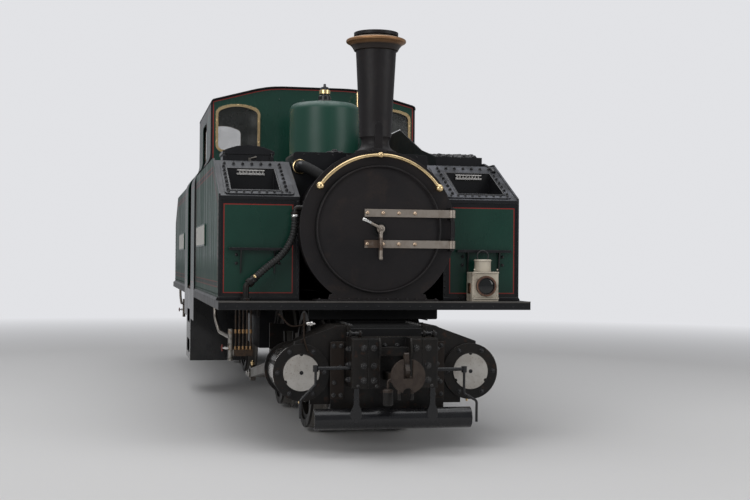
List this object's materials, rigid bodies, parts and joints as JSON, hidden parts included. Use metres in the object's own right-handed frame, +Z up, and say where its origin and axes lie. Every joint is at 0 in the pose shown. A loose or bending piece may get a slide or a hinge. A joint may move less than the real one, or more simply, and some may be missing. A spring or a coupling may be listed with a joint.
{
  "type": "double-ended articulated steam locomotive",
  "caption": "Narrow-gauge tank locomotive with a central cab, a boiler at each end and two swivelling power bogies.",
  "frame": {"origin": "midway between the two bogie pivots, on the ground plane at the wheel flange tips", "axes": "+X towards the front end shown in the picture, +Y to the locomotive's left, +Z up"},
  "size_m": [8.9, 2.06, 2.688],
  "materials": {
    "black_paint": "semi-gloss",
    "boiler_black": "satin",
    "brass": "polished",
    "cap_bronze": "dull bronze",
    "coal": "rough",
    "copper": "weathered",
    "frame_black": "oily matt",
    "glass": "clear",
    "green_paint": "gloss",
    "hose_rubber": "ribbed",
    "lamp_cream": "enamel",
    "rod_steel": "bright steel",
    "smokebox_black": "graphite matt",
    "wheel_steel": "painted centres, bare treads"
  },
  "bodies": {
    "superstructure": {"boiler": "boiler_black", "brake_hose_front": "hose_rubber", "brake_hose_rear": "hose_rubber", "cab_ends": "green_paint", "cab_roof": "black_paint", "cab_sides": "green_paint", "chimney_caps": "cap_bronze", "chimneys": "smokebox_black", "coal": "coal", "coal_bunkers": "black_paint", "cradle": "frame_black", "dome_valves": "brass", "domes": "green_paint", "filler_boxes": "black_paint", "headlamp": "lamp_cream", "hose_fittings": "frame_black", "lubricators": "copper", "running_plate": "black_paint", "sandboxes": "black_paint", "side_tanks": "green_paint", "smokebox_rails": "brass", "smokebox_rings": "smokebox_black", "smokeboxes": "smokebox_black", "tank_shelves": "black_paint", "window_glass": "glass", "window_rims": "brass"},
    "bogie_front": {"axleboxes_front": "frame_black", "bogie_frame_front": "frame_black", "buffer_block_front": "frame_black", "coupler_front": "frame_black", "cylinders_front": "frame_black", "front_pipes_front": "copper", "plough_front": "frame_black", "slidebars_front": "rod_steel"},
    "wheels_inner_front": {"wheelset_inner_front": "wheel_steel"},
    "wheels_outer_front": {"wheelset_outer_front": "wheel_steel"},
    "coupling_rod_left_front": {"coupling_rod_left_front": "rod_steel"},
    "connecting_rod_left_front": {"connecting_rod_left_front": "rod_steel"},
    "coupling_rod_right_front": {"coupling_rod_right_front": "rod_steel"},
    "connecting_rod_right_front": {"connecting_rod_right_front": "rod_steel"},
    "smokebox_door_front": {"smokebox_door_front": "smokebox_black", "door_straps_front": "rod_steel"},
    "filler_lid_front": {"filler_lid_front": "black_paint"},
    "bogie_rear": {"axleboxes_rear": "frame_black", "bogie_frame_rear": "frame_black", "buffer_block_rear": "frame_black", "coupler_rear": "frame_black", "cylinders_rear": "frame_black", "front_pipes_rear": "copper", "plough_rear": "frame_black", "slidebars_rear": "rod_steel"},
    "wheels_inner_rear": {"wheelset_inner_rear": "wheel_steel"},
    "wheels_outer_rear": {"wheelset_outer_rear": "wheel_steel"},
    "coupling_rod_left_rear": {"coupling_rod_left_rear": "rod_steel"},
    "connecting_rod_left_rear": {"connecting_rod_left_rear": "rod_steel"},
    "coupling_rod_right_rear": {"coupling_rod_right_rear": "rod_steel"},
    "connecting_rod_right_rear": {"connecting_rod_right_rear": "rod_steel"},
    "smokebox_door_rear": {"smokebox_door_rear": "smokebox_black", "door_straps_rear": "rod_steel"},
    "filler_lid_rear": {"filler_lid_rear": "black_paint"}
  },
  "joints": [
    {"name": "bogie_front_swivel", "type": "hinge", "parent": "superstructure", "child": "bogie_front", "pos_m": [2.197, 0, 0.7], "axis": [0, 0, 1], "range_deg": [-4, 4]},
    {"name": "wheels_inner_front_turn", "type": "hinge", "parent": "bogie_front", "child": "wheels_inner_front", "pos_m": [1.486, 0, 0.4315], "axis": [0, 1, 0], "continuous": true},
    {"name": "wheels_outer_front_turn", "type": "hinge", "parent": "bogie_front", "child": "wheels_outer_front", "pos_m": [2.908, 0, 0.4315], "axis": [0, 1, 0], "continuous": true},
    {"name": "coupling_rod_left_front_pin", "type": "hinge", "parent": "wheels_inner_front", "child": "coupling_rod_left_front", "pos_m": [1.63181, 0.424, 0.5336], "axis": [0, 1, 0], "continuous": true},
    {"name": "connecting_rod_left_front_pin", "type": "hinge", "parent": "wheels_inner_front", "child": "connecting_rod_left_front", "pos_m": [1.63181, 0.603, 0.5336], "axis": [0, 1, 0], "continuous": true},
    {"name": "coupling_rod_right_front_pin", "type": "hinge", "parent": "wheels_inner_front", "child": "coupling_rod_right_front", "pos_m": [1.5881, -0.424, 0.28569], "axis": [0, 1, 0], "continuous": true},
    {"name": "connecting_rod_right_front_pin", "type": "hinge", "parent": "wheels_inner_front", "child": "connecting_rod_right_front", "pos_m": [1.5881, -0.603, 0.28569], "axis": [0, 1, 0], "continuous": true},
    {"name": "smokebox_door_front_hinge", "type": "hinge", "parent": "superstructure", "child": "smokebox_door_front", "pos_m": [3.605, 0.482, 1.388], "axis": [0, 0, 1], "range_deg": [0, 110]},
    {"name": "filler_lid_front_hinge", "type": "hinge", "parent": "superstructure", "child": "filler_lid_front", "pos_m": [2.404, -0.76, 1.926], "axis": [0, -1, 0], "range_deg": [0, 95]},
    {"name": "bogie_rear_swivel", "type": "hinge", "parent": "superstructure", "child": "bogie_rear", "pos_m": [-2.197, 0, 0.7], "axis": [0, 0, 1], "range_deg": [-4, 4]},
    {"name": "wheels_inner_rear_turn", "type": "hinge", "parent": "bogie_rear", "child": "wheels_inner_rear", "pos_m": [-1.486, 0, 0.4315], "axis": [0, 1, 0], "continuous": true},
    {"name": "wheels_outer_rear_turn", "type": "hinge", "parent": "bogie_rear", "child": "wheels_outer_rear", "pos_m": [-2.908, 0, 0.4315], "axis": [0, 1, 0], "continuous": true},
    {"name": "coupling_rod_left_rear_pin", "type": "hinge", "parent": "wheels_inner_rear", "child": "coupling_rod_left_rear", "pos_m": [-1.63181, 0.424, 0.5336], "axis": [0, 1, 0], "continuous": true},
    {"name": "connecting_rod_left_rear_pin", "type": "hinge", "parent": "wheels_inner_rear", "child": "connecting_rod_left_rear", "pos_m": [-1.63181, 0.603, 0.5336], "axis": [0, 1, 0], "continuous": true},
    {"name": "coupling_rod_right_rear_pin", "type": "hinge", "parent": "wheels_inner_rear", "child": "coupling_rod_right_rear", "pos_m": [-1.5881, -0.424, 0.28569], "axis": [0, 1, 0], "continuous": true},
    {"name": "connecting_rod_right_rear_pin", "type": "hinge", "parent": "wheels_inner_rear", "child": "connecting_rod_right_rear", "pos_m": [-1.5881, -0.603, 0.28569], "axis": [0, 1, 0], "continuous": true},
    {"name": "smokebox_door_rear_hinge", "type": "hinge", "parent": "superstructure", "child": "smokebox_door_rear", "pos_m": [-3.605, 0.482, 1.388], "axis": [0, 0, -1], "range_deg": [0, 110]},
    {"name": "filler_lid_rear_hinge", "type": "hinge", "parent": "superstructure", "child": "filler_lid_rear", "pos_m": [-2.404, -0.76, 1.926], "axis": [0, 1, 0], "range_deg": [0, 95]}
  ],
  "couplings": [
    {"joint": "wheels_outer_front_turn", "follows": "wheels_inner_front_turn", "ratio": 1},
    {"joint": "coupling_rod_left_front_pin", "follows": "wheels_inner_front_turn", "ratio": -1},
    {"joint": "connecting_rod_left_front_pin", "follows": "wheels_inner_front_turn", "ratio": -1},
    {"joint": "coupling_rod_right_front_pin", "follows": "wheels_inner_front_turn", "ratio": -1},
    {"joint": "connecting_rod_right_front_pin", "follows": "wheels_inner_front_turn", "ratio": -1},
    {"joint": "wheels_outer_rear_turn", "follows": "wheels_inner_rear_turn", "ratio": 1},
    {"joint": "coupling_rod_left_rear_pin", "follows": "wheels_inner_rear_turn", "ratio": -1},
    {"joint": "connecting_rod_left_rear_pin", "follows": "wheels_inner_rear_turn", "ratio": -1},
    {"joint": "coupling_rod_right_rear_pin", "follows": "wheels_inner_rear_turn", "ratio": -1},
    {"joint": "connecting_rod_right_rear_pin", "follows": "wheels_inner_rear_turn", "ratio": -1}
  ]
}
